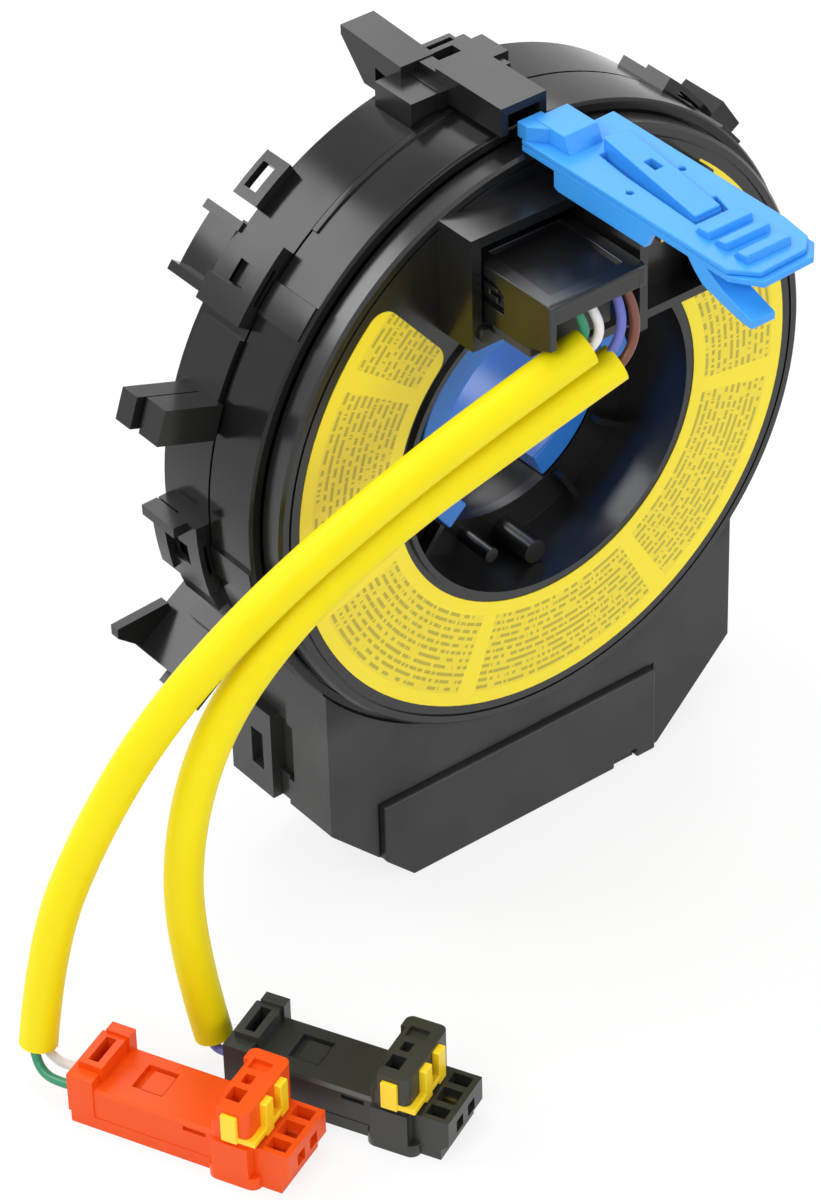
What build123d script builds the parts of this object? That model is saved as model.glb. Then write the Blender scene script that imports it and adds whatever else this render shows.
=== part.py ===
"""Steering clock spring: a rotor that turns inside a fixed case, joined by a spiral flat cable.

The rotor axis is Y and the label face looks along -Y.  X is to the right seen from the
front and Z is up.  The origin lies on the rotor axis in the plane of the rotor face.
All sizes are in millimetres.
"""
import math
import os
from build123d import *

# ---------------------------------------------------------------- driving sizes
# fixed case
CASE_R = 52.5            # outer radius of the case wall
CASE_WALL = 1.7
SEAM_Y = 15.0            # where the front case meets the rear cover
SEAM_GAP = 0.4
COVER_BACK_Y = 26.6      # rear face of the rear cover's floor
COVER_FLOOR = 1.8
SPIGOT_WALL = 1.4
SPIGOT_DEPTH = 2.6

# rotor
DISC_INSET = 2.0         # from the case wall in to the edge of the disc
DISC_R = CASE_R - DISC_INSET
DISC_WALL = 2.2          # thickness of the disc
DISC_SKIRT_DEPTH = 4.2   # depth of the skirt round the edge of the disc
DISC_SKIRT_WALL = 1.6
BORE_R = 26.9            # radius of the big bore for the wheel's hub
BORE_LIP = 0.7           # height of the thin lip round the bore
BORE_FLOOR_Y = 12.0      # depth of the floor in the bore
HUB_WALL = 2.5           # wall between the bore and the cable space
FLOOR_WALL = 1.8
HUB_BACK_Y = 23.9        # rear end of the rotor hub
LABEL_MARGIN = 3.5       # from the edge of the disc in to the label
LABEL_R_OUT = DISC_R - LABEL_MARGIN
LABEL_R_IN = BORE_R + 2.0
LABEL_THICK = 0.15
LABEL_START = 130.1      # the label runs anticlockwise between these two angles
LABEL_END = 411.0

CASE_FRONT_Y = DISC_SKIRT_DEPTH + 0.4   # front rim of the case, just behind the disc's skirt

# connector block below the case
BLOCK_HALF = 40.6        # half width of the block
BLOCK_DROP = 23.0        # from the bottom of the ring down to the foot
BLOCK_CHAMFER_RISE = 15.0  # height of the corner chamfers
BLOCK_FOOT_HALF = 25.5
BLOCK_BOTTOM_Z = -(CASE_R + BLOCK_DROP)   # the part stands on this face
BLOCK_SHOULDER_Z = BLOCK_BOTTOM_Z + BLOCK_CHAMFER_RISE
BLOCK_TOP_Z = 2.3 - math.sqrt(CASE_R ** 2 - BLOCK_HALF ** 2)   # inside the ring's wall
BLOCK_FRONT_Y = 3.9
BLOCK_BACK_Y = 27.8
BLOCK_WALL = 2.0

# column socket in the rear of the block
SOCKET_HALF = 24.0
SOCKET_FOOT = 4.5        # from the foot of the block up to the socket
SOCKET_HEIGHT = 15.0
SOCKET_LOW_Z = BLOCK_BOTTOM_Z + SOCKET_FOOT
SOCKET_HIGH_Z = SOCKET_LOW_Z + SOCKET_HEIGHT

# sleeve and cancel ring in the bore
CANCEL_R_OUT = 20.5
CANCEL_R_IN = 16.0
CANCEL_FRONT_Y = 5.0     # front end of the tall half
CANCEL_LOW_Y = 12.0      # front end of the cut-away half
CANCEL_BACK_Y = 33.0
CANCEL_TALL_START = 10.0
CANCEL_TALL_ARC = 212.0
CANCEL_NOTCH_ARC = 73.0  # deep notch that follows the tall half
CANCEL_NOTCH_Y = 24.0
SLEEVE_WALL = 3.2
SLEEVE_BACK_Y = 28.6
SLEEVE_FLANGE = 3.0

# flat cable
CABLE_THICK = 0.8
CABLE_R_IN = BORE_R + HUB_WALL + 2.3
CABLE_R_OUT = CASE_R - 5.5
CABLE_HALF_TURNS = 11
CABLE_STEP = (CABLE_R_OUT - CABLE_R_IN - CABLE_THICK) / (CABLE_HALF_TURNS - 1)   # growth per half turn
CABLE_FRONT_Y = 5.6
CABLE_BACK_Y = 23.6
SLOT_HALF = 7.6          # half width of the cable's way into the block

# box on the rotor face
BOX_LEFT = -20.0
BOX_RIGHT = 12.0
BOX_MARGIN = 4.5         # from the edge of the disc down to the top of the box
BOX_TOP = DISC_R - BOX_MARGIN
BOX_BOTTOM = BORE_R + 0.1
BOX_FRONT_Y = -7.5
BOX_WALL = 1.8
CHEEK_X = 0.9            # left face of the cheek beside the wire cover
CHEEK_WALL = 1.5
CHEEK_FRONT_Y = -20.0
SOCKET_RIGHT = 27.5
SOCKET_BOTTOM = 17.0
SOCKET_TOP = BOX_TOP - 8.0
SOCKET_FRONT_Y = -5.5

# wire cover in the box
COVER_LEFT = -17.6
COVER_RIGHT = 0.2
COVER_TOP = BOX_BOTTOM + 0.7475 * (BOX_TOP - BOX_BOTTOM)
COVER_LOW = BOX_BOTTOM + 4.6
COVER_TALL = COVER_TOP - COVER_LOW
COVER_MOUTH = COVER_LOW + 0.35 * COVER_TALL   # lower edge of its front wall
COVER_FRONT_Y = -22.2
COVER_WALL = 1.3
HOLDER_FRONT_Y = -16.0
HOLDER_TOP = COVER_TOP - 2.6

# lock clip
CLIP_X = 4.0             # centre line of the clip
CLIP_HALF = 7.6
CLIP_TOP = BOX_TOP + 6.5
CLIP_PLATE = 1.8
CLIP_FRONT_Y = -48.8
CLIP_REAR_Y = 1.4
CLIP_TIP_Y = 2.4
BRACKET_FRONT_Y = 2.8    # front edge of the bracket's roof

# leads
SLEEVE_DIA = 6.0
WIRE_DIA = 1.5
PLUG_LENGTH = 37.4
PLUG_WIDTH = 11.4
PLUG_HEIGHT = 7.6
PLUG_REAR_HEIGHT = 9.2   # height of the block at its cable end
PLUG_TOWER = 14.5

# clearances
RUN_GAP = 0.3            # between pieces that turn past each other
FIT_GAP = 0.15           # between pieces that sit still in each other
SLIDE_GAP = 0.1          # under the rails of the lock clip

PLUG_SEAM = 2.2          # height of the plug's base tray
ORANGE_CORNER = (-100.0, -8.7)   # rear near corner of each plug on the ground
ORANGE_HEADING = -65.4
BLACK_CORNER = (-78.2, -18.2)
BLACK_HEADING = -64.5

# centre lines of the two sleeves, from the box to the plugs
ORANGE_ROUTE = [
    (-9.8, -20.7, 30.6),
    (-26.0, -18.3, 24.3),
    (-43.5, -15.4, 16.0),
    (-61.6, -10.7, 3.6),
    (-76.8, -4.6, -13.6),
    (-87.3, 0.3, -33.5),
    (-94.8, 2.2, -51.2),
    (-97.8, 1.9, -68.6),
]
BLACK_ROUTE = [
    (-4.1, -20.7, 25.3),
    (-22.9, -17.8, 18.0),
    (-41.0, -14.4, 9.9),
    (-57.2, -10.9, -1.3),
    (-69.0, -7.6, -16.7),
    (-75.6, -7.1, -34.7),
    (-76.9, -8.2, -53.9),
    (-74.9, -11.1, -71.0),
]

PARTS = {}


# ---------------------------------------------------------------- helpers
def face_plane(y):
    """Drawing plane across the rotor axis: X to the right, Z up."""
    return Plane(origin=(0, y, 0), x_dir=(1, 0, 0), z_dir=(0, -1, 0))


def slab(outline, y_front, y_back):
    """An outline in X and Z made solid between two depths."""
    return extrude(face_plane(y_back) * outline, y_back - y_front)


def block(x0, x1, y0, y1, z0, z1):
    """A plain block between two corners."""
    centre = Pos((x0 + x1) / 2, (y0 + y1) / 2, (z0 + z1) / 2)
    return centre * Box(x1 - x0, y1 - y0, z1 - z0)


def polygon(*points):
    return make_face(Polyline(*points, close=True))


def turned(*points):
    """A full ring turned about the rotor axis from (radius, y) corners."""
    return revolve(polygon(*points), Axis.Y, 360)


def ring(r_in, r_out, y_front, y_back):
    return slab(Circle(r_out) - Circle(r_in), y_front, y_back)


def at_angle(angle, solid):
    """Turn a solid drawn at 3 o'clock to an angle, anticlockwise from the front."""
    return Rot(0, -angle, 0) * solid


def arc_bar(r_in, r_out, start, end, y_front, y_back):
    """A piece of a ring between two angles."""
    profile = polygon((r_in, y_front), (r_out, y_front), (r_out, y_back), (r_in, y_back))
    return at_angle(end, revolve(profile, Axis.Y, end - start))


def spoke(angle, r_in, r_out, width, y_front, y_back):
    """A straight bar that points outwards."""
    return at_angle(angle, block(r_in, r_out, y_front, y_back, -width / 2, width / 2))


def pin(x, z, radius, y_front, y_back):
    return slab(Pos(x, z) * Circle(radius), y_front, y_back)


def prism_x(points, x0, x1):
    """An outline in Y and Z made solid from x0 to x1."""
    plane = Plane(origin=(x0, 0, 0), x_dir=(0, 1, 0), z_dir=(1, 0, 0))
    return extrude(plane * polygon(*points), x1 - x0)


def plate(points, z_low, z_high):
    """An outline in X and Y made solid between two heights."""
    return Pos(0, 0, z_low) * extrude(polygon(*points), z_high - z_low)


def tube_along(route, diameter, name):
    """Straight runs joined by tangent arcs, each as large as its runs allow."""
    points = [Vector(*p) for p in route]
    radii = []
    for before, corner, after in zip(points, points[1:], points[2:]):
        into = corner - before
        out = after - corner
        turn = math.radians(into.get_angle(out))
        radii.append(0.45 * min(into.length, out.length) / math.tan(turn / 2))
    path = FilletPolyline(*points, radius=radii)
    start = Plane(origin=path @ 0, z_dir=path % 0)
    solid = sweep(start * Circle(diameter / 2), path=path)
    print(f"{name}: length {path.length:.1f} mm, radii {[round(r, 1) for r in radii]}, "
          f"volume ratio {solid.volume / (path.length * math.pi * diameter ** 2 / 4):.4f}")
    return solid


# ---------------------------------------------------------------- fixed case
def block_outline(inset=0.0):
    half = BLOCK_HALF - inset
    foot = BLOCK_FOOT_HALF - inset * 0.41
    bottom = BLOCK_BOTTOM_Z + inset
    shoulder = BLOCK_SHOULDER_Z + inset * 0.41
    return polygon((-half, BLOCK_TOP_Z), (-half, shoulder), (-foot, bottom),
                   (foot, bottom), (half, shoulder), (half, BLOCK_TOP_Z))


def cable_slot():
    """Way from the cable space down into the connector block."""
    return block(-SLOT_HALF, SLOT_HALF, 11.4, 23.4, -CASE_R - 1.7, -CASE_R + 7.5)


def side_slots():
    """Deep slot at the seam on each side of the block, in front of its latch."""
    low = BLOCK_SHOULDER_Z + 5.1
    high = BLOCK_SHOULDER_Z + 15.9
    slots = block(-BLOCK_HALF - 1, -BLOCK_HALF + 1.4, SEAM_Y - 1.8, SEAM_Y + 2.2, low, high)
    return slots + block(BLOCK_HALF - 1.4, BLOCK_HALF + 1, SEAM_Y - 1.8, SEAM_Y + 2.2, low, high)


def make_case():
    inner = CASE_R - CASE_WALL
    wall = turned((inner, CASE_FRONT_Y), (CASE_R - 0.4, CASE_FRONT_Y), (CASE_R, CASE_FRONT_Y + 0.4),
                  (CASE_R, SEAM_Y - SEAM_GAP), (inner, SEAM_Y - SEAM_GAP), (inner, 6.4),
                  (inner - 2.2, 6.4), (inner - 2.2, 5.2), (inner, 5.2))
    back = SEAM_Y - SEAM_GAP
    lower = slab(block_outline(), BLOCK_FRONT_Y, back)
    lower -= slab(block_outline(BLOCK_WALL), BLOCK_FRONT_Y + BLOCK_WALL, back + 1)
    lower -= ring(0.001, CASE_R - 0.2, BLOCK_FRONT_Y - 1, back + 1)
    case = wall + lower
    # raised tongues that run back under the rear cover's latch pockets
    for angle in (139.7, 40.3, -8.0, 188.0):
        case += arc_bar(CASE_R - 0.2, CASE_R + 0.5, angle - 3.0, angle + 3.0, CASE_FRONT_Y + 0.4, back)
    # rib round the upper part of the wall, just ahead of the seam
    case += arc_bar(CASE_R - 0.2, CASE_R + 0.35, 96.5, 127.0, back - 1.1, back)
    # ribs stiffening the front wall of the block
    for x in (-31.0, -12.0, 12.0, 31.0):
        case += block(x - 0.7, x + 0.7, BLOCK_FRONT_Y + 1.5, back - 0.5, BLOCK_BOTTOM_Z + 8.5, -CASE_R - 2.1)
    case -= cable_slot()
    case -= side_slots()
    # shallow seat for the cover plate
    case -= slab(cover_outline(-0.5), BLOCK_FRONT_Y - 1, BLOCK_FRONT_Y + 0.5)
    return case


def cover_outline(inset=0.0):
    """Plate on the block's face; its lower left corner follows the block's chamfer."""
    left = -31.0 + inset
    right = 24.2 - inset
    top = BLOCK_BOTTOM_Z + 16.3 - inset
    low = BLOCK_BOTTOM_Z + 0.2 + inset * 0.4
    return polygon((left, top), (left, BLOCK_BOTTOM_Z + 5.6), (-BLOCK_FOOT_HALF + inset * 0.4, low), (15.6, low),
                   (15.6, low + 1.8), (20.4, low + 1.8), (20.4, low), (right, low), (right, top))


def make_cover_plate():
    solid = slab(cover_outline(), BLOCK_FRONT_Y - 1.1, BLOCK_FRONT_Y + 0.5)
    rim = solid.faces().sort_by(Axis.Y)[0].edges().filter_by(Axis.X)
    return chamfer(rim.sort_by(Axis.Z)[-1:], 0.3)


def latch(angle, front, back, half_arc=7.0):
    """A raised pocket with a window, open at the seam side."""
    pocket = arc_bar(CASE_R - 0.2, CASE_R + 2.4, angle - half_arc, angle + half_arc, front, back)
    pocket -= arc_bar(CASE_R + 0.75, CASE_R + 1.5, angle - 3.2, angle + 3.2, front - 1, back - 2.0)
    # step down behind the window, open towards the top of the ring
    side = 1 if math.cos(math.radians(angle)) > 0 else -1
    ends = sorted((angle - 2.4 * side, angle + (half_arc + 1) * side))
    pocket -= arc_bar(CASE_R + 1.7, CASE_R + 3.0, *ends, front + 5.2, back + 1)
    window_mid = front + 4.6
    pocket -= arc_bar(CASE_R + 0.7, CASE_R + 3.0, angle - 2.0, angle + 2.0, window_mid - 1.6, window_mid + 2.0)
    return pocket


def make_rear_cover():
    inner = CASE_R - CASE_WALL
    front = SEAM_Y
    spigot_out = inner - RUN_GAP
    spigot_in = spigot_out - SPIGOT_WALL
    hole = sleeve_outer() + 0.5
    body = turned((spigot_in, front - SPIGOT_DEPTH), (spigot_out, front - SPIGOT_DEPTH), (spigot_out, front),
                  (CASE_R, front), (CASE_R, COVER_BACK_Y - 0.6), (CASE_R - 0.6, COVER_BACK_Y),
                  (hole, COVER_BACK_Y), (hole, COVER_BACK_Y - COVER_FLOOR),
                  (inner, COVER_BACK_Y - COVER_FLOOR), (inner, front + 1.2), (spigot_in, front + 1.2))
    lower = slab(block_outline(0.5), front, BLOCK_BACK_Y)
    lower -= slab(block_outline(BLOCK_WALL + 0.5), front - 1, BLOCK_BACK_Y - BLOCK_WALL)
    lower -= ring(0.001, CASE_R - 0.2, front - 1, BLOCK_BACK_Y + 1)
    cover = body + lower

    # top bracket: a roof over the lock clip's tip, with its side walls and slotted base
    rim = CASE_R
    cover += block(-7.6, 5.6, front, COVER_BACK_Y - 0.6, rim - 1.5, rim + 2.9)
    roof = block(-6.0, 2.4, BRACKET_FRONT_Y, front + 3, rim + 0.4, rim + 5.1)
    roof -= block(-4.7, 1.1, BRACKET_FRONT_Y - 1, front - 0.4, rim - 0.5, rim + 3.7)
    cover += roof
    cover += block(-6.0, 2.4, front + 2, COVER_BACK_Y - 1.2, rim + 1.5, rim + 4.5)
    cover -= block(-3.6, 0.6, 20.2, 22.4, rim + 2.1, rim + 5.5)
    cover -= block(-4.4, 1.8, 23.4, 24.4, rim + 3.1, rim + 5.5)
    cover += block(-12.6, -7.2, front + 0.4, COVER_BACK_Y - 2.6, rim - 2.5, rim + 2.7)
    cover += block(2.0, 7.0, front + 2.2, COVER_BACK_Y - 3.2, rim - 1.5, rim + 3.5)
    # snap hook reaching back from the bracket
    hook = [(22.0, -1.5), (22.0, 4.7), (36.4, 5.5), (36.4, 3.9), (31.0, -2.1),
            (28.2, -2.1), (28.2, 1.9), (24.0, 1.1)]
    cover += prism_x([(y, rim + rise) for y, rise in hook], -9.3, -3.1)

    # latch pockets, with a plain raised panel beside two of them
    for angle in (138.8, 41.2, -8.0, 188.0):
        cover += latch(angle, front, COVER_BACK_Y - 1.2)
    for start, end in ((147.8, 158.4), (21.6, 32.2)):
        cover += arc_bar(CASE_R - 0.2, CASE_R + 0.9, start, end, front, COVER_BACK_Y - 2.2)
    # loop tab and lipped bracket standing behind the ring
    cover += arc_bar(CASE_R - 1.2, CASE_R + 2.0, 120.8, 129.2, COVER_BACK_Y - 2.0, COVER_BACK_Y - 0.4)
    cover += arc_bar(CASE_R + 0.6, CASE_R + 2.0, 120.8, 129.2, COVER_BACK_Y - 2.0, COVER_BACK_Y + 3.6)
    cover -= arc_bar(CASE_R + 0.1, CASE_R + 3.0, 122.6, 127.4, COVER_BACK_Y - 0.2, COVER_BACK_Y + 2.6)
    cover += arc_bar(CASE_R - 1.4, CASE_R + 0.3, 132.6, 144.4, 24.6, 33.4)
    for angle in (133.0, 144.0):
        cover += arc_bar(CASE_R - 1.4, CASE_R + 2.2, angle - 0.8, angle + 0.8, 24.6, 33.4)
    cover += arc_bar(CASE_R - 0.2, CASE_R + 1.4, 194.0, 201.0, front + 2.0, 25.4)
    cover += arc_bar(CASE_R + 2.0, CASE_R + 4.8, 181.0, 182.8, front + 2.4, 25.4)
    cover += arc_bar(CASE_R + 2.0, CASE_R + 3.2, 182.0, 193.0, front + 7.4, 25.4)
    # locating peg of two stacked blocks on the left, and a short plain one on the right
    for near, far, width, reach in ((-1.4, 3.2, 5.8, 11.6), (3.0, 4.2, 3.4, 10.8), (4.0, 7.6, 5.2, 12.7)):
        foot = 0.9 if near < 0 else -1.5
        cover += spoke(161.3, CASE_R + foot, CASE_R + reach, width, SEAM_Y + near, SEAM_Y + far)
    cover += spoke(161.3, CASE_R - 1.5, CASE_R + 2.0, 5.8, SEAM_Y + 0.2, SEAM_Y + 7.6)
    cover += spoke(33.0, CASE_R - 1.5, CASE_R + 4.5, 6.2, SEAM_Y + 0.2, SEAM_Y + 7.4)
    cover += spoke(33.0, CASE_R + 0.9, CASE_R + 4.5, 6.2, SEAM_Y - 1.4, SEAM_Y + 1.0)
    # long hook arm low on the left, with a lip at its end and a tab below it
    cover += spoke(-145.3, CASE_R - 1.5, CASE_R + 11.5, 1.7, 22.0, 37.0)
    lip = [(4.0, -0.2), (10.9, -0.1), (12.6, -5.9), (11.6, -7.4), (3.35, -2.4)]
    cover += at_angle(-145.3, slab(polygon(*[(CASE_R + out, side) for out, side in lip]), 35.2, 37.0))
    cover += spoke(-142.6, CASE_R - 1.5, CASE_R + 13.5, 1.8, 22.0, 30.6)
    cover += spoke(-150.0, CASE_R - 1.5, CASE_R + 3.1, 3.0, 19.0, 27.4)
    # slotted latch on each side of the block
    for side in (-1, 1):
        strap = block(side * BLOCK_HALF - 1.3, side * BLOCK_HALF + 1.3, SEAM_Y + 2.2, BLOCK_BACK_Y,
                      BLOCK_SHOULDER_Z + 0.1, BLOCK_SHOULDER_Z + 16.5)
        strap -= block(side * BLOCK_HALF - 3, side * BLOCK_HALF + 3, SEAM_Y + 4.4, SEAM_Y + 7.4,
                       BLOCK_SHOULDER_Z + 4.5, BLOCK_SHOULDER_Z + 11.5)
        cover += strap
    cover -= cable_slot()
    cover -= side_slots()
    # seat for the column socket
    cover -= block(-SOCKET_HALF - FIT_GAP, SOCKET_HALF + FIT_GAP, BLOCK_BACK_Y - BLOCK_WALL - 1, BLOCK_BACK_Y + 1,
                   SOCKET_LOW_Z - FIT_GAP, SOCKET_HIGH_Z + FIT_GAP)
    return cover


def sleeve_outer():
    return CANCEL_R_OUT + 0.4 + SLEEVE_WALL


def make_column_socket():
    """Two plug cavities that face the rear of the block."""
    low, high = SOCKET_LOW_Z, SOCKET_HIGH_Z
    wide = SOCKET_HALF
    shell = block(-wide, wide, 18.0, 33.2, low, high)
    # collar that seats behind the wall of the block
    shell += block(-wide - 0.9, wide + 0.9, 23.6, BLOCK_BACK_Y - BLOCK_WALL, low - 1.0, high + 1.2)
    shell -= block(-wide + 1.6, -2.0, 20.4, 34.0, low + 1.6, high - 1.6)
    shell -= block(1.0, wide - 1.6, 20.4, 34.0, low + 1.6, high - 1.6)
    shell -= block(-14.0, -10.0, 26.0, 34.0, high - 2.0, high + 1.0)
    shell -= block(9.5, 13.5, 26.0, 34.0, high - 2.0, high + 1.0)
    return shell


def make_column_pins():
    pins = []
    middle = (SOCKET_LOW_Z + SOCKET_HIGH_Z) / 2
    for x in (-19.0, -15.6, -12.2, -8.8, -5.4, 4.6, 8.2, 11.8, 15.4, 19.0):
        for z in (middle - 1.6, middle + 1.8):
            pins.append(block(x - 0.5, x + 0.5, 20.4, 27.6, z - 0.5, z + 0.5))
    return Compound(children=pins)


def make_case_cable_joint():
    """Moulded block that ends the flat cable in the connector block."""
    solid = block(-SLOT_HALF, SLOT_HALF, 12.2, 22.8, -CASE_R - 1.5, -CASE_R + 3.1)
    solid += block(-4.0, 4.0, 13.4, 18.0, -CASE_R - 11.5, -CASE_R - 0.5)
    return solid


def make_slide_sheet():
    y = COVER_BACK_Y - COVER_FLOOR
    return ring(30.2, CASE_R - CASE_WALL - 1.0, y - 0.4, y)


# ---------------------------------------------------------------- flat cable
def make_flat_cable():
    """Half turns about two centres in turn, so that the strip winds outwards."""
    step = CABLE_STEP
    inner = []
    outer = []
    for k in range(CABLE_HALF_TURNS):
        upper = k % 2 == 0
        centre = (0, 0) if upper else (step, 0)
        start = 0 if upper else 180
        radius = CABLE_R_IN + k * step
        inner.append(CenterArc(centre, radius, start, 180))
        outer.append(CenterArc(centre, radius + CABLE_THICK, start, 180))
    first = Line(inner[0] @ 0, outer[0] @ 0)
    last = Line(inner[-1] @ 1, outer[-1] @ 1)
    strip = make_face(inner + outer + [first, last])
    cable = slab(Rot(0, 0, 90) * strip, CABLE_FRONT_Y, CABLE_BACK_Y)
    last_r = CABLE_R_IN + (CABLE_HALF_TURNS - 1) * step
    return cable + block(0.0, CABLE_THICK, 12.4, 22.6, -CASE_R + 3.1, -last_r - 0.1)


def make_rotor_cable_joint():
    hub_r = BORE_R + HUB_WALL
    return arc_bar(hub_r + 0.02, CABLE_R_IN - RUN_GAP, 80.0, 100.0, 7.0, 22.0)


# ---------------------------------------------------------------- rotor
def make_rotor():
    hub_r = BORE_R + HUB_WALL
    floor_back = BORE_FLOOR_Y + FLOOR_WALL
    hole = CANCEL_R_OUT + 0.4
    lip_r = BORE_R + 0.9
    edge = DISC_R - 0.5
    barrel_in = hub_r - 2.0
    rotor = turned((BORE_R, -BORE_LIP), (lip_r, -BORE_LIP), (lip_r, 0), (edge, 0), (DISC_R, 0.5),
                   (DISC_R, DISC_SKIRT_DEPTH), (DISC_R - DISC_SKIRT_WALL, DISC_SKIRT_DEPTH),
                   (DISC_R - DISC_SKIRT_WALL, DISC_WALL), (hub_r, DISC_WALL), (hub_r, HUB_BACK_Y),
                   (barrel_in, HUB_BACK_Y), (barrel_in, floor_back), (hole, floor_back),
                   (hole, BORE_FLOOR_Y), (BORE_R, BORE_FLOOR_Y))
    # fine groove just inside the edge of the disc
    rotor -= ring(DISC_R - 2.0, DISC_R - 1.6, -1, 0.4)
    rotor += make_box_walls()
    # two pins and small ribs on the floor of the bore
    rotor += pin(0.3, -BORE_R + 2.2, 2.0, BORE_FLOOR_Y - 8.3, BORE_FLOOR_Y)
    rotor += pin(-7.4, -BORE_R + 4.5, 1.2, BORE_FLOOR_Y - 7.2, BORE_FLOOR_Y)
    for angle in (-32.0, -60.0, -128.0, 168.0):
        rotor += spoke(angle, hole + 0.3, BORE_R + 0.4, 1.0, BORE_FLOOR_Y - 2.4, BORE_FLOOR_Y)
    rotor += spoke(12.0, BORE_R - 2.3, BORE_R + 0.6, 1.2, BORE_FLOOR_Y - 3.0, BORE_FLOOR_Y)
    return rotor


def make_box_walls():
    """Open-fronted box for the wire cover, and the plug socket to its right."""
    left, top, front = BOX_LEFT, BOX_TOP, BOX_FRONT_Y
    walls = block(left, left + BOX_WALL, front, 0.5, BOX_BOTTOM, top)
    walls += block(left, BOX_RIGHT, front, 0.5, top - BOX_WALL, top)
    walls += block(left, CHEEK_X + CHEEK_WALL, front, 0.5, BOX_BOTTOM, BOX_BOTTOM + BOX_WALL)
    walls += block(left, COVER_LEFT + COVER_WALL, front, front + 1.6, BOX_BOTTOM, BOX_BOTTOM + 4.4)
    walls += pin(left + 2.2, BOX_BOTTOM + 2.4, 1.2, front - 0.7, front + 0.2)
    # cheek beside the wire cover
    walls += prism_x([(0.5, SOCKET_BOTTOM), (SOCKET_FRONT_Y, SOCKET_BOTTOM), (SOCKET_FRONT_Y, BOX_BOTTOM),
                      (CHEEK_FRONT_Y, BOX_BOTTOM + 1.0), (CHEEK_FRONT_Y, BOX_TOP - BOX_WALL),
                      (0.5, BOX_TOP - BOX_WALL)], CHEEK_X, CHEEK_X + CHEEK_WALL)
    # plug socket: floor, lower wall, right wall and sloping roof
    x0 = CHEEK_X
    x1 = SOCKET_RIGHT
    socket = slab(polygon((x0, SOCKET_BOTTOM), (x1, SOCKET_BOTTOM), (x1, SOCKET_TOP),
                          (BOX_RIGHT, BOX_TOP), (x0, BOX_TOP)), SOCKET_FRONT_Y, 1.4)
    socket -= slab(polygon((x0 - 1, SOCKET_BOTTOM + 1.5), (x1 - 1.5, SOCKET_BOTTOM + 1.5),
                           (x1 - 1.5, SOCKET_TOP - 0.8), (BOX_RIGHT - 0.6, BOX_TOP - BOX_WALL),
                           (x0 - 1, BOX_TOP - BOX_WALL)), SOCKET_FRONT_Y - 1, -0.6)
    walls += socket
    return walls


def make_switch_pins():
    pins = []
    for x in (8.0, 11.5, 15.0, 18.5, 22.0):
        for z in (SOCKET_TOP - 9.0, SOCKET_TOP - 5.0):
            pins.append(block(x - 0.4, x + 0.4, -4.6, -0.6, z - 0.4, z + 0.4))
    return Compound(children=pins)


def make_label():
    band = arc_bar(LABEL_R_IN, LABEL_R_OUT, LABEL_START, LABEL_END, -LABEL_THICK, 0)
    band -= block(-10.0, SOCKET_RIGHT + 0.6, -1, 1, SOCKET_BOTTOM - 1.0, CASE_R)
    corners = band.edges().filter_by(Axis.Y)
    left_end = [edge for edge in corners if edge.center().X < -15 and edge.center().Z > 15]
    return fillet(left_end, 3.0)


def make_rear_sleeve():
    """Tube that joins the rotor from behind and keeps it in the rear cover."""
    r_in = CANCEL_R_OUT + 0.4
    r_out = sleeve_outer()
    flange_y = COVER_BACK_Y + 0.4
    front = BORE_FLOOR_Y + FLOOR_WALL
    flange_r = r_out + SLEEVE_FLANGE
    sleeve = turned((r_in, front), (r_out, front), (r_out, flange_y), (flange_r, flange_y),
                    (flange_r, SLEEVE_BACK_Y), (r_in, SLEEVE_BACK_Y))
    for angle in (45, 135, 225, 315):
        sleeve += spoke(angle, r_out - 0.2, BORE_R + HUB_WALL - 2.2, 6.0, front, front + 5.0)
    return sleeve


def make_cancel_ring():
    """Turn-signal cancel ring: part of its front is cut away, and it has two cams at the rear."""
    back = CANCEL_BACK_Y
    flange_r = CANCEL_R_OUT + 2.5
    tube = turned((CANCEL_R_IN, CANCEL_FRONT_Y), (CANCEL_R_OUT, CANCEL_FRONT_Y),
                  (CANCEL_R_OUT, SLEEVE_BACK_Y), (flange_r, SLEEVE_BACK_Y), (flange_r, back),
                  (CANCEL_R_IN, back))
    low_start = CANCEL_TALL_START + CANCEL_TALL_ARC
    tube -= arc_bar(CANCEL_R_IN - 1, CANCEL_R_OUT + 1, low_start, CANCEL_TALL_START + 360,
                    CANCEL_FRONT_Y - 1, CANCEL_LOW_Y)
    tube -= arc_bar(CANCEL_R_IN - 1, CANCEL_R_OUT + 1, low_start, low_start + CANCEL_NOTCH_ARC,
                    CANCEL_LOW_Y - 1, CANCEL_NOTCH_Y)
    for angle in (90, 270):
        tube += spoke(angle, CANCEL_R_OUT - 2.0, CANCEL_R_OUT + 5.0, 8.0, SLEEVE_BACK_Y, back + 2.0)
    return tube


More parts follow.
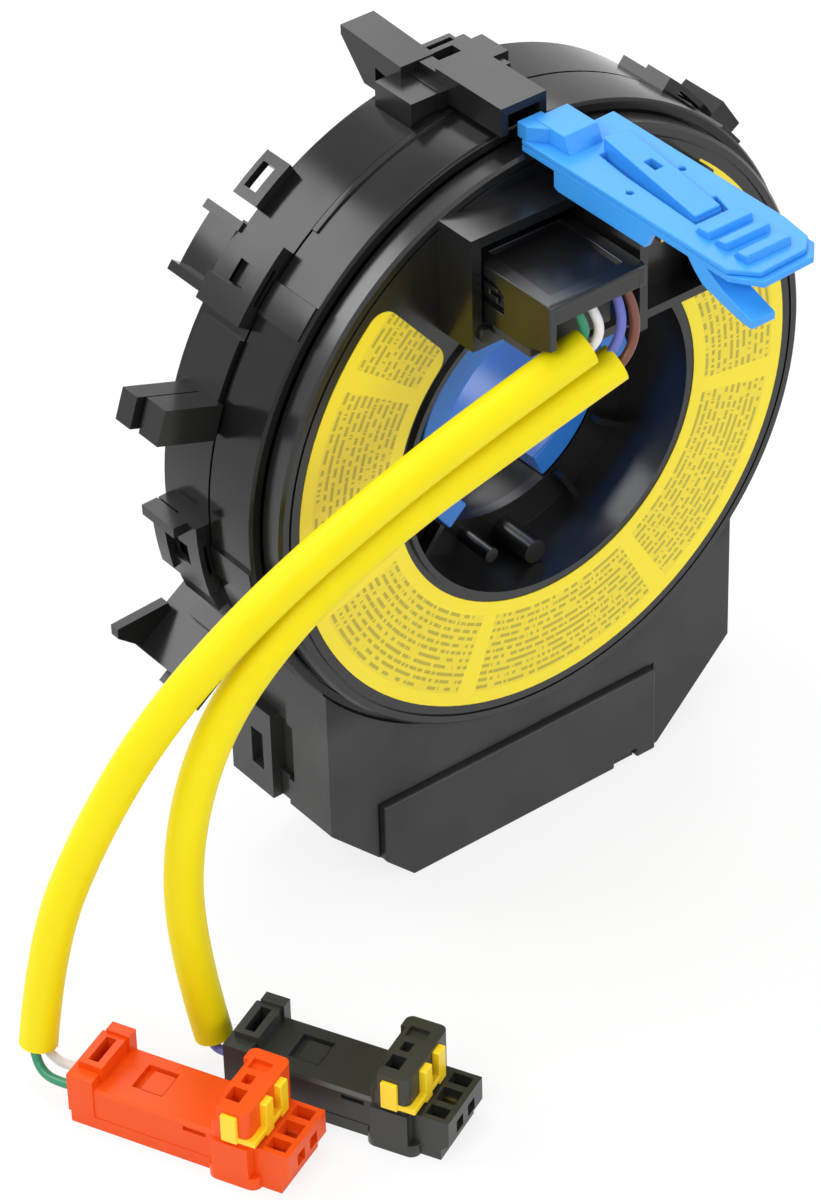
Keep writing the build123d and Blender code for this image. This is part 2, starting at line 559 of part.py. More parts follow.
def make_wire_cover():
    x0, x1 = COVER_LEFT, COVER_RIGHT
    rear = 0.0
    shell = block(x0, x1, COVER_FRONT_Y, rear, COVER_LOW, COVER_TOP)
    shell -= block(x0 + COVER_WALL, x1 - COVER_WALL, COVER_FRONT_Y + COVER_WALL, rear + 1,
                   COVER_LOW - 1, COVER_TOP - 1.9)
    shell -= block(x0 - 1, x1 + 1, COVER_FRONT_Y - 1, COVER_FRONT_Y + 6.0, COVER_LOW - 1, COVER_MOUTH)
    # sunk panel in the top
    shell -= block(x0 + 3.0, x1 - 2.2, COVER_FRONT_Y + 3.2, -6.2, COVER_TOP - 0.8, COVER_TOP + 1)
    # latch window in the left wall
    low = COVER_LOW + 0.21 * COVER_TALL
    high = COVER_TOP - 0.29 * COVER_TALL
    shell -= block(x0 - 1, x0 + COVER_WALL + 1, -13.2, -8.2, low, high)
    shell += block(x0, x0 + COVER_WALL, -11.4, -8.2, low + 0.2 * (high - low), high - 0.25 * (high - low))
    top_edges = shell.edges().filter_by(Axis.X).group_by(Axis.Z)[-1].sort_by(Axis.Y)[:1]
    return fillet(top_edges, 0.9)


def make_wire_holder():
    """Grip for the four wires, seated on the face inside the box."""
    left = COVER_LEFT + COVER_WALL
    right = COVER_RIGHT - COVER_WALL
    return block(left, right, HOLDER_FRONT_Y, 0.0, BOX_BOTTOM + BOX_WALL, HOLDER_TOP)


# ---------------------------------------------------------------- lock clip
def make_lock_clip():
    x0 = CLIP_X - CLIP_HALF
    x1 = CLIP_X + CLIP_HALF
    low = CLIP_TOP - CLIP_PLATE
    rear, front = CLIP_REAR_Y, CLIP_FRONT_Y
    clip = plate([(x0, rear), (x0, front + 3.9), (x0 + 2.8, front), (CLIP_X + 1.8, front),
                  (x1, front + 5.2), (x1, -3.0), (x1 - 3.4, 0.4), (x1 - 6.4, rear)], low, CLIP_TOP)
    # raised step and locking tip at the rear
    clip += prism_x([(-8.0, CLIP_TOP - 0.2), (-7.0, CLIP_TOP + 3.4), (0.6, CLIP_TOP + 3.4),
                     (1.2, CLIP_TOP - 0.2)], -2.0, 4.8)
    clip += block(-3.1, 1.0, -1.6, CLIP_TIP_Y, CLIP_TOP - 0.2, CLIP_TOP + 2.9)
    # spring finger: two slots through the plate, a raised top and a square hole
    finger = [(0.6, -9.4), (8.4, -9.4), (6.0, -31.6), (0.8, -31.6)]
    moat = [(-0.2, -12.4), (0.6, -12.4), (0.9, -32.4), (0.1, -32.4)]
    clip -= plate(moat, low - 1, CLIP_TOP + 1)
    clip -= plate([(0.1, -31.7), (6.4, -31.7), (6.4, -32.4), (0.1, -32.4)], low - 1, CLIP_TOP + 1)
    clip -= plate([(6.2, -31.9), (6.9, -31.9), (7.9, -20.0), (7.3, -20.0)], low - 1, CLIP_TOP + 1)
    ramp = prism_x([(-9.4, CLIP_TOP - 0.2), (-10.2, CLIP_TOP + 1.7), (-31.6, CLIP_TOP + 0.4),
                    (-31.6, CLIP_TOP - 0.2)], 0.0, 9.0)
    clip += ramp & plate(finger, low, CLIP_TOP + 4)
    clip -= block(4.0, 6.6, -17.4, -14.6, low - 1, CLIP_TOP + 4)
    for x, y in ((8.9, -19.8), (-0.9, -19.9)):
        clip -= Pos(x, y, low) * Cylinder(0.55, 12)
    # thumb ribs
    for y in (-35.2, -39.4, -43.6):
        rib = prism_x([(y - 1.5, CLIP_TOP - 0.2), (y - 0.4, CLIP_TOP + 1.0), (y + 1.0, CLIP_TOP + 1.0),
                       (y + 1.5, CLIP_TOP - 0.2)], -1.3, 7.7)
        clip += rib
    # skirt along the left edge and rails that stand on the box
    clip += block(x0, x0 + 1.4, -25.0, -6.3, CLIP_TOP - 4.6, low + 0.2)
    clip += block(x0, x0 + 1.4, -7.4, -1.2, BOX_TOP + SLIDE_GAP, low + 0.2)
    clip += block(8.6, 10.0, -7.4, -1.2, BOX_TOP + SLIDE_GAP, low + 0.2)
    clip += block(x1 - 1.4, x1, -25.0, -6.3, CLIP_TOP - 3.9, low + 0.2)
    # lower prong reaching forward under the plate
    under = CLIP_TOP - 7.9
    clip += prism_x([(-24.6, low + 0.1), (-24.6, CLIP_TOP - 4.6), (-32.4, under), (-49.2, under),
                     (-49.2, under + 1.3), (-33.4, under + 1.3), (-26.0, low + 0.1)], x0, x0 + 5.0)
    return clip


# ---------------------------------------------------------------- leads and plugs
def wire_end(sleeve_route, at_plug, side, lead, points, bend):
    """Wire that leaves a sleeve's end face beside its centre, then follows the points."""
    tip = Vector(*sleeve_route[-1 if at_plug else 0])
    inner = Vector(*sleeve_route[-2 if at_plug else 1])
    out = (tip - inner).normalized()
    offset = Vector(*side)
    offset -= out * offset.dot(out)
    start = tip + offset
    path = FilletPolyline(start, start + out * lead, *points, radius=bend)
    profile = Plane(origin=path @ 0, z_dir=path % 0) * Circle(WIRE_DIA / 2)
    return sweep(profile, path=path)


def plug_place(corner, heading):
    """Frame of a plug lying on the ground: x along it, y across it, z up."""
    turn = math.radians(heading)
    plane = Plane(origin=(*corner, BLOCK_BOTTOM_Z), x_dir=(math.cos(turn), math.sin(turn), 0))
    return plane.location


def rear_face_point(place, across, height):
    return (place * Pos(0, across, height)).position


def make_wires():
    holder_y = HOLDER_FRONT_Y + 0.6
    orange = plug_place(ORANGE_CORNER, ORANGE_HEADING)
    black = plug_place(BLACK_CORNER, BLACK_HEADING)
    before = Pos(-3.0, 0, 0)
    inside = Pos(0.6, 0, 0)
    holder = PARTS["wire_holder"]
    green = wire_end(ORANGE_ROUTE, False, (0, 0, 1.2), 1.8, [(-6.4, holder_y, BOX_BOTTOM + 6.6)], 1.4)
    white = wire_end(ORANGE_ROUTE, False, (0, 0, -1.2), 3.2, [(-4.2, holder_y, BOX_BOTTOM + 5.0)], 1.6)
    blue = wire_end(BLACK_ROUTE, False, (0, 0, 1.2), 2.4, [(-2.6, -19.4, 30.4), (-3.0, holder_y, BOX_BOTTOM + 3.6)], 1.2)
    brown = wire_end(BLACK_ROUTE, False, (0, 0, -1.2), 3.6, [(0.0, -21.0, 30.4), (-2.2, holder_y, BOX_BOTTOM + 6.9)], 1.6)
    green_end = wire_end(ORANGE_ROUTE, True, (-1.1, -0.5, 0), 1.2,
                         [rear_face_point(orange * before, 2.6, 5.0), rear_face_point(orange * inside, 2.6, 4.6)], 1.1)
    white_end = wire_end(ORANGE_ROUTE, True, (1.1, 0.5, 0), 1.2,
                         [rear_face_point(orange * before, 5.8, 5.2), rear_face_point(orange * inside, 5.8, 4.8)], 1.1)
    blue_end = wire_end(BLACK_ROUTE, True, (-1.0, -0.4, 0), 1.0, [rear_face_point(black * inside, 5.4, 3.2)], 0.95)
    brown_end = wire_end(BLACK_ROUTE, True, (1.0, 0.4, 0), 1.0, [rear_face_point(black * inside, 7.6, 3.2)], 0.95)
    ends = {"green": (green, green_end, "orange"), "white": (white, white_end, "orange"),
            "blue": (blue, blue_end, "black"), "brown": (brown, brown_end, "black")}
    for colour, (box_end, plug_end, plug) in ends.items():
        trimmed = [box_end - holder, plug_end - PARTS[f"{plug}_plug_body"]]
        PARTS[f"{colour}_wire"] = Compound(children=trimmed)


def make_plug(name, place):
    """Plug of four pieces: body with its tower, base tray, yellow lock and terminals."""
    width = PLUG_WIDTH
    lock = block(27.2, 29.8, -1.7, -0.4, 8.6, 13.6)
    lock += block(27.2, 32.6, -1.2, 9.2, 8.6, 9.6)
    for y in (2.6, 7.0):
        lock += block(31.2, 32.6, y, y + 2.2, 7.9, 14.0)
    terminals = [block(20.0, 35.2, y, y + 1.4, 4.2, 5.6) for y in (3.1, 6.9)]

    body = block(4.4, 26.0, 0.2, width, PLUG_SEAM, PLUG_HEIGHT)
    body = chamfer(body.edges().filter_by(Axis.X).group_by(Axis.Z)[-1], 0.5)
    body += block(0, 4.4, 0, width - 0.6, PLUG_SEAM, PLUG_REAR_HEIGHT)
    # raised frame and far lug on the cable end
    body += block(0.8, 4.9, 2.3, 9.8, PLUG_HEIGHT, PLUG_REAR_HEIGHT + 1.2)
    body += block(1.4, 5.4, 9.6, width + 0.2, PLUG_SEAM + 2, PLUG_REAR_HEIGHT + 1.7)
    body -= block(2.0, 3.7, 3.3, 8.8, 6.0, PLUG_REAR_HEIGHT + 2)
    # latch window in the top, and a slot in the near side
    body -= block(9.1, 14.3, 3.5, 8.8, PLUG_HEIGHT - 1.1, PLUG_HEIGHT + 1)
    body += block(10.4, 14.0, 4.0, 8.3, PLUG_HEIGHT - 1.4, PLUG_HEIGHT - 0.4)
    body -= block(19.6, 23.4, -1, 1.0, PLUG_HEIGHT - 1.7, PLUG_HEIGHT - 0.9)
    # tower with stepped rear and openings in its top
    tower_plan = Pos(28.2, 5.7) * RectangleRounded(6.6, width + 2.2, 1.2)
    tower = Pos(0, 0, PLUG_SEAM) * extrude(tower_plan, PLUG_TOWER - PLUG_SEAM)
    tower -= block(24.0, 26.4, -3, 3.4, PLUG_TOWER - 3.2, PLUG_TOWER + 1)
    tower -= block(24.0, 25.8, 3.4, 9.8, PLUG_TOWER - 1.4, PLUG_TOWER + 1)
    tower -= block(26.6, 29.0, 1.0, 3.8, PLUG_TOWER - 3.4, PLUG_TOWER + 1)
    tower -= block(27.0, 28.6, 5.0, 7.0, PLUG_TOWER - 1.6, PLUG_TOWER + 1)
    tower -= block(26.4, 29.6, 8.2, 10.4, PLUG_TOWER - 0.8, PLUG_TOWER + 1)
    tower += block(25.2, 31.4, -1.6, -0.6, PLUG_SEAM, 8.0)
    body += tower
    nose = block(31.0, PLUG_LENGTH, 0, width, PLUG_SEAM, 7.7)
    nose = chamfer(nose.edges().filter_by(Axis.Y).group_by(Axis.Z)[0].sort_by(Axis.X)[-1:], 1.2)
    for y, depth in ((0.9, 3.4), (4.2, 4.2), (8.4, 3.4)):
        nose -= block(33.2, 36.4, y, y + depth - 1.2, 4.8, 8.4)
    for y in (2.7, 6.5):
        nose -= block(35.2, PLUG_LENGTH + 1, y, y + 2.2, 3.8, 6.0)
    body += nose
    body -= lock
    body -= Compound(children=terminals)

    base = block(0.3, PLUG_LENGTH - 1.4, 0.1, width - 0.2, 0, PLUG_SEAM)
    base += Pos(28.4, 5.4) * extrude(RectangleRounded(8.6, width + 2.2, 1.6), PLUG_SEAM)
    base -= block(8.0, 20.0, 3.4, width - 3.4, -1, 0.8)
    PARTS[f"{name}_plug_body"] = place * body
    PARTS[f"{name}_plug_base"] = place * base
    PARTS[f"{name}_plug_lock"] = place * lock
    PARTS[f"{name}_plug_terminals"] = place * Compound(children=terminals)


def main():
    os.makedirs("parts", exist_ok=True)
    PARTS["front_case"] = make_case()
    PARTS["rear_cover"] = make_rear_cover()
    PARTS["block_cover_plate"] = make_cover_plate()
    PARTS["column_socket"] = make_column_socket()
    PARTS["column_pins"] = make_column_pins()
    PARTS["case_cable_joint"] = make_case_cable_joint()
    PARTS["slide_sheet"] = make_slide_sheet()
    PARTS["flat_cable"] = make_flat_cable()
    PARTS["rotor"] = make_rotor()
    PARTS["rotor_cable_joint"] = make_rotor_cable_joint()
    PARTS["rear_sleeve"] = make_rear_sleeve()
    PARTS["cancel_ring"] = make_cancel_ring()
    PARTS["label"] = make_label()
    PARTS["switch_pins"] = make_switch_pins()
    PARTS["wire_cover"] = make_wire_cover()
    PARTS["wire_holder"] = make_wire_holder()
    PARTS["lock_clip"] = make_lock_clip()
    make_plug("orange", plug_place(ORANGE_CORNER, ORANGE_HEADING))
    make_plug("black", plug_place(BLACK_CORNER, BLACK_HEADING))
    make_wires()
    PARTS["orange_sleeve"] = tube_along(ORANGE_ROUTE, SLEEVE_DIA, "orange_sleeve")
    PARTS["black_sleeve"] = tube_along(BLACK_ROUTE, SLEEVE_DIA, "black_sleeve")
    for name, solid in PARTS.items():
        export_step(solid, f"parts/{name}.step")


main()
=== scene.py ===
"""Looks of the steering clock spring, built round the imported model."""
import math

import bmesh
import bpy
from mathutils import Matrix, Vector


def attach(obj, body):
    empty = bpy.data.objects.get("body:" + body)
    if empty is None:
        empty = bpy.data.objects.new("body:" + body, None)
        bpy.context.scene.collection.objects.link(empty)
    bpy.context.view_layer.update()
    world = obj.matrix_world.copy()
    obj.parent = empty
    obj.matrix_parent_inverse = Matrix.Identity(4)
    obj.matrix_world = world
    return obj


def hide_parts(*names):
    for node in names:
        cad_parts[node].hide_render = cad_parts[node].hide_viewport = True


MM = 0.001

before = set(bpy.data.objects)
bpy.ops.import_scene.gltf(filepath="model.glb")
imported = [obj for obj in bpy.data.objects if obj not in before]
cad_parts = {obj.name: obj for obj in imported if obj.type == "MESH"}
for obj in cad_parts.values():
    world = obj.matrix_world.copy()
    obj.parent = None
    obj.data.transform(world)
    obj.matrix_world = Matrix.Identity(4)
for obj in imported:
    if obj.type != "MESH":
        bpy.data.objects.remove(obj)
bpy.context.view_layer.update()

FLOOR_Z = -75.5 * MM
SLEEVE_RADIUS = 3.0 * MM
WIRE_RADIUS = 0.75 * MM


# ---------------------------------------------------------------- camera
CAMERA_PLACE = (-0.3732, -0.4583, 0.4153)
CAMERA_RIGHT = Vector((0.7870, -0.6166, -0.0236))
CAMERA_BACK = Vector((-0.4812, -0.6365, 0.6028))
CAMERA_LENS = 143.53


def add_camera():
    """A long lens that looks down on the front from the left, rolled a little."""
    turn = Matrix((CAMERA_RIGHT, CAMERA_BACK.cross(CAMERA_RIGHT), CAMERA_BACK)).transposed()
    data = bpy.data.cameras.new("camera")
    data.sensor_fit = "VERTICAL"
    data.sensor_height = 36.0
    data.lens = CAMERA_LENS
    data.clip_end = 20.0
    camera = bpy.data.objects.new("camera", data)
    camera.matrix_world = Matrix.Translation(CAMERA_PLACE) @ turn.to_4x4()
    bpy.context.scene.collection.objects.link(camera)
    bpy.context.scene.camera = camera


add_camera()


# ---------------------------------------------------------------- leads
ORANGE_LEAD = [
    (-9.8, -20.7, 30.6), (-26.0, -18.3, 24.3), (-43.5, -15.4, 16.0), (-61.6, -10.7, 3.6),
    (-76.8, -4.6, -13.6), (-87.3, 0.3, -33.5), (-94.8, 2.2, -51.2), (-97.8, 1.9, -68.6),
]
BLACK_LEAD = [
    (-4.1, -20.7, 25.3), (-22.9, -17.8, 18.0), (-41.0, -14.4, 9.9), (-57.2, -10.9, -1.3),
    (-69.0, -7.6, -16.7), (-75.6, -7.1, -34.7), (-76.9, -8.2, -53.9), (-74.9, -11.1, -71.0),
]

# each wire shows at the box end and at the plug end of its sleeve
WIRES = {
    "green": ([(-11.6, -20.4, 31.2), (-9.9, -20.8, 32.3), (-10.2, -20.5, 35.0), (-11.4, -19.4, 37.8),
               (-11.5, -15.6, 37.3)],
              [(-98.9, 1.6, -67.4), (-98.9, 1.3, -70.8), (-99.2, -1.6, -72.0), (-98.6, -5.4, -71.2),
               (-97.4, -8.2, -70.9)]),
    "white": ([(-10.6, -20.9, 29.6), (-8.4, -21.1, 30.3), (-7.2, -20.9, 32.8), (-8.0, -20.2, 35.8),
               (-8.8, -18.6, 37.9), (-8.8, -15.6, 37.4)],
              [(-96.7, 2.4, -67.4), (-96.7, 2.1, -70.2), (-96.2, -0.6, -71.6), (-95.6, -4.0, -70.6),
               (-94.5, -6.8, -70.7)]),
    "blue": ([(-6.3, -20.4, 26.3), (-4.4, -20.8, 27.8), (-3.0, -20.8, 31.6), (-3.3, -20.2, 35.6),
              (-3.9, -18.8, 37.9), (-3.9, -15.6, 37.4)],
             [(-76.0, -11.3, -69.8), (-75.8, -11.7, -72.4), (-74.4, -14.0, -73.3), (-73.1, -16.4, -72.3)]),
    "brown": ([(-5.0, -20.9, 24.2), (-2.6, -21.2, 25.4), (-0.5, -21.0, 29.6), (-0.9, -20.3, 34.6),
               (-2.1, -18.9, 37.6), (-2.2, -15.6, 37.2)],
              [(-73.8, -10.6, -69.8), (-73.6, -10.9, -72.3), (-72.2, -13.2, -73.2), (-71.1, -15.5, -72.3)]),
}


def add_tube(name, routes, radius, bevel_steps, curve_steps):
    """Round tubes on smooth splines. Their points carry the radius, so that the bounds stay true."""
    curve = bpy.data.curves.new(name, "CURVE")
    curve.dimensions = "3D"
    curve.bevel_depth = 1.0
    curve.bevel_resolution = bevel_steps
    curve.resolution_u = curve_steps
    curve.use_fill_caps = True
    for route in routes:
        spline = curve.splines.new("NURBS")
        spline.points.add(len(route) - 1)
        for point, place in zip(spline.points, route):
            point.co = (*[value * MM for value in place], 1.0)
            point.radius = radius
        spline.order_u = 3
        spline.use_endpoint_u = True
    tube = bpy.data.objects.new(name, curve)
    bpy.context.scene.collection.objects.link(tube)
    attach(tube, "rotor")
    return tube


def add_wire(colour):
    """Both bare ends of one wire."""
    wire = add_tube(f"wire_{colour}", WIRES[colour], WIRE_RADIUS, 5, 12)
    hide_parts(f"{colour}_wire")
    return wire


def add_lead(colour, route):
    """A sleeve tube along its route, in place of the imported sleeve."""
    lead = add_tube(f"lead_{colour}", [route], SLEEVE_RADIUS, 8, 16)
    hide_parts(f"{colour}_sleeve")
    return lead


wires = {colour: add_wire(colour) for colour in WIRES}
leads = [
    add_lead("orange", ORANGE_LEAD),
    add_lead("black", BLACK_LEAD),
]


# ---------------------------------------------------------------- materials
def srgb(text):
    """Linear colour from an sRGB hex value."""
    values = [int(text[i:i + 2], 16) / 255 for i in (0, 2, 4)]
    return (*[v / 12.92 if v <= 0.04045 else ((v + 0.055) / 1.055) ** 2.4 for v in values], 1.0)


def node(tree, kind, inputs=None, **settings):
    """Adds a node with its settings; inputs are values or sockets to link."""
    made = tree.nodes.new(kind)
    for name, value in settings.items():
        setattr(made, name, value)
    for key, value in (inputs or {}).items():
        if isinstance(value, bpy.types.NodeSocket):
            tree.links.new(value, made.inputs[key])
        else:
            made.inputs[key].default_value = value
    return made


def new_material(name):
    """An empty material and its node tree."""
    material = bpy.data.materials.new(name)
    material.use_nodes = True
    tree = material.node_tree
    tree.nodes.clear()
    return material, tree


GLOSS_DRIFT = 0.05
CLOUD_SIZE = 22 * MM
BUMP_HEIGHT = 0.05 * MM


def plastic(name, colour, shade, roughness, grain_mm, grain_depth, **shader):
    """Moulded plastic: an even colour that drifts a little, and the fine grain of its mould."""
    material, tree = new_material(name)
    coords = node(tree, "ShaderNodeTexCoord").outputs["Object"]
    cloud = node(tree, "ShaderNodeTexNoise", {"Vector": coords, "Scale": 1 / CLOUD_SIZE, "Detail": 3.0})
    grain = node(tree, "ShaderNodeTexNoise", {
        "Vector": coords, "Scale": 1 / (grain_mm * MM), "Detail": 2.0})
    tint = node(tree, "ShaderNodeMixRGB", {
        "Fac": cloud.outputs["Fac"], "Color1": srgb(colour), "Color2": srgb(shade)})
    rough = node(tree, "ShaderNodeMapRange", {
        "Value": cloud.outputs["Fac"], "From Min": 0.3, "From Max": 0.7,
        "To Min": roughness - GLOSS_DRIFT, "To Max": roughness + GLOSS_DRIFT})
    bump = node(tree, "ShaderNodeBump", {
        "Height": grain.outputs["Fac"], "Strength": grain_depth, "Distance": BUMP_HEIGHT})
    surface = node(tree, "ShaderNodeBsdfPrincipled", {
        "Base Color": tint.outputs["Color"], "Roughness": rough.outputs["Result"],
        "Normal": bump.outputs["Normal"], **shader})
    node(tree, "ShaderNodeOutputMaterial", {"Surface": surface.outputs["BSDF"]})
    return material


# PBT from a polished mould: deep black that mirrors the lamps
gloss_black = plastic("pbt_polished_black", "121213", "1a1a1a", 0.22, 0.8, 0.08,
                      **{"IOR": 1.57, "Specular IOR Level": 0.45})
# acetal, moulded: a waxy satin blue with soft wide highlights
clip_blue = plastic("acetal_light_blue", "3090e2", "409ce8", 0.38, 0.6, 0.15,
                    **{"IOR": 1.48, "Specular IOR Level": 0.35})
ring_blue = plastic("acetal_deep_blue", "1d66b8", "2771c2", 0.34, 0.6, 0.12, IOR=1.48)
# nylon, moulded: strong colour with a dry, faintly grained sheen
plug_orange = plastic("nylon_orange", "e24804", "ee560c", 0.42, 0.5, 0.2,
                      **{"IOR": 1.53, "Specular IOR Level": 0.25})
plug_black = plastic("nylon_black", "20211d", "2a2b26", 0.4, 0.5, 0.25, IOR=1.53)
lock_yellow = plastic("nylon_yellow", "f2c80e", "f9d624", 0.38, 0.5, 0.15, IOR=1.53)
# rubber, moulded: dull grey without a highlight
holder_grey = plastic("rubber_grey", "3a3a3a", "464646", 0.6, 0.5, 0.3, IOR=1.5)
# PTFE sheet, skived: a soft off-white
slide_white = plastic("ptfe_sheet", "d9d9d4", "e2e2de", 0.45, 0.8, 0.1, IOR=1.38)
# polyester film, laminated: a smooth cream that catches the light
cable_film = plastic("polyester_film_cable", "c9c4b0", "d5d0bd", 0.25, 0.8, 0.05, IOR=1.6)
# PVC insulation, extruded: plain colour with a narrow highlight along it
wire_colours = {
    "green": plastic("pvc_green", "1f7f5c", "268a66", 0.4, 0.5, 0.1, IOR=1.53),
    "white": plastic("pvc_white", "e6dfdf", "efe9e9", 0.4, 0.5, 0.1, IOR=1.53),
    "blue": plastic("pvc_blue", "5d63b4", "6a70c0", 0.4, 0.5, 0.1, IOR=1.53),
    "brown": plastic("pvc_brown", "6e3a2c", "7a4434", 0.4, 0.5, 0.1, IOR=1.53),
}
# soft PVC tube, extruded: bright yellow with hardly a highlight
sleeve_yellow = plastic("pvc_tube_yellow", "ecd900", "dfce00", 0.5, 2.0, 0.12,
                        **{"IOR": 1.53, "Specular IOR Level": 0.2})


def around_axis(tree):
    """Object coordinates, their parts, and the distance from the rotor's axis."""
    coords = node(tree, "ShaderNodeTexCoord").outputs["Object"]
    parts = node(tree, "ShaderNodeSeparateXYZ", {"Vector": coords}).outputs
    flat = node(tree, "ShaderNodeCombineXYZ", {"X": parts["X"], "Y": parts["Z"]})
    radius = node(tree, "ShaderNodeVectorMath", {0: flat.outputs[0]}, operation="LENGTH").outputs["Value"]
    return coords, parts, radius


LABEL_FIELDS = 7
FIELD_SHIFT = 0.18
PRINT_INNER = 30.6 * MM
PRINT_OUTER = 45.4 * MM
PRINT_MIDDLE = 38.0 * MM
# half of a field's printed part, as a share of its pitch and of the label's width
HALF_ALONG = 0.455
HALF_ACROSS = 0.46
ROW_PITCH = 1.25 * MM
ROW_INKED = 0.46
DASH_LENGTH = 0.9 * MM
DASH_CUT = 0.46
LANE_STEP = 7.3
INK_SHARE = 0.5


def printed_film(name):
    """Printed polyester film: satin yellow with evenly spaced fields of faint fine dashes."""
    material, tree = new_material(name)
    coords, parts, radius = around_axis(tree)
    angle = node(tree, "ShaderNodeMath", {0: parts["Z"], 1: parts["X"]}, operation="ARCTAN2")
    turns = node(tree, "ShaderNodeMath", {0: angle.outputs[0], 1: LABEL_FIELDS / math.tau},
                 operation="MULTIPLY")
    field = node(tree, "ShaderNodeMath", {0: turns.outputs[0], 1: FIELD_SHIFT}, operation="ADD")
    along = node(tree, "ShaderNodeMath", {0: field.outputs[0]}, operation="FRACT")
    across = node(tree, "ShaderNodeMapRange", {
        "Value": radius, "From Min": PRINT_INNER, "From Max": PRINT_OUTER})
    # a field is where both distances from its middle are small
    inside = []
    for share, half in ((along, HALF_ALONG), (across, HALF_ACROSS)):
        offset = node(tree, "ShaderNodeMath", {0: share.outputs[0], 1: 0.5}, operation="SUBTRACT")
        offset = node(tree, "ShaderNodeMath", {0: offset.outputs[0]}, operation="ABSOLUTE")
        inside.append(node(tree, "ShaderNodeMath", {0: offset.outputs[0], 1: half}, operation="LESS_THAN"))
    inside = node(tree, "ShaderNodeMath", {0: inside[0].outputs[0], 1: inside[1].outputs[0]},
                  operation="MULTIPLY")
    # rows round the axis, broken into dashes of uneven length
    rows = node(tree, "ShaderNodeMath", {0: radius, 1: 1 / ROW_PITCH}, operation="MULTIPLY")
    row = node(tree, "ShaderNodeMath", {0: rows.outputs[0]}, operation="FLOOR")
    in_row = node(tree, "ShaderNodeMath", {0: rows.outputs[0]}, operation="FRACT")
    inked = node(tree, "ShaderNodeMath", {0: in_row.outputs[0], 1: ROW_INKED}, operation="LESS_THAN")
    arc = node(tree, "ShaderNodeMath", {0: angle.outputs[0], 1: PRINT_MIDDLE / DASH_LENGTH},
               operation="MULTIPLY")
    lane = node(tree, "ShaderNodeMath", {0: row.outputs[0], 1: LANE_STEP}, operation="MULTIPLY")
    dash_place = node(tree, "ShaderNodeCombineXYZ", {"X": arc.outputs[0], "Y": lane.outputs[0]})
    dashes = node(tree, "ShaderNodeTexNoise", {
        "Vector": dash_place.outputs[0], "Scale": 1.0, "Detail": 1.0})
    dash = node(tree, "ShaderNodeMath", {0: dashes.outputs["Fac"], 1: DASH_CUT}, operation="GREATER_THAN")
    ink = node(tree, "ShaderNodeMath", {0: inked.outputs[0], 1: dash.outputs[0]}, operation="MULTIPLY")
    ink = node(tree, "ShaderNodeMath", {0: ink.outputs[0], 1: inside.outputs[0]}, operation="MULTIPLY")
    ink = node(tree, "ShaderNodeMath", {0: ink.outputs[0], 1: INK_SHARE}, operation="MULTIPLY")
    drift = node(tree, "ShaderNodeTexNoise", {"Vector": coords, "Scale": 1 / (14 * MM)})
    panel = node(tree, "ShaderNodeMixRGB", {
        "Fac": drift.outputs["Fac"], "Color1": srgb("ecd628"), "Color2": srgb("e2cb24")})
    ground = node(tree, "ShaderNodeMixRGB", {
        "Fac": inside.outputs[0], "Color1": srgb("f0da20"), "Color2": panel.outputs[0]})
    tint = node(tree, "ShaderNodeMixRGB", {
        "Fac": ink.outputs[0], "Color1": ground.outputs[0], "Color2": srgb("5d5a2c")})
    film = node(tree, "ShaderNodeTexNoise", {"Vector": coords, "Scale": 1 / (0.6 * MM)})
    bump = node(tree, "ShaderNodeBump", {
        "Height": film.outputs["Fac"], "Strength": 0.06, "Distance": 0.03 * MM})
    surface = node(tree, "ShaderNodeBsdfPrincipled", {
        "Base Color": tint.outputs[0], "Roughness": 0.42, "Normal": bump.outputs["Normal"], "IOR": 1.5})
    node(tree, "ShaderNodeOutputMaterial", {"Surface": surface.outputs["BSDF"]})
    return material


# the mould's matte part starts below this height, and is full at the second
BLOCK_START = -36 * MM
BLOCK_FULL = -42 * MM
# clips, brackets and pockets stand out past the ring's wall and are a little less polished
WALL_RADIUS = 52.8 * MM
FITTING_RADIUS = 53.4 * MM
FITTING_MATTE = 0.2


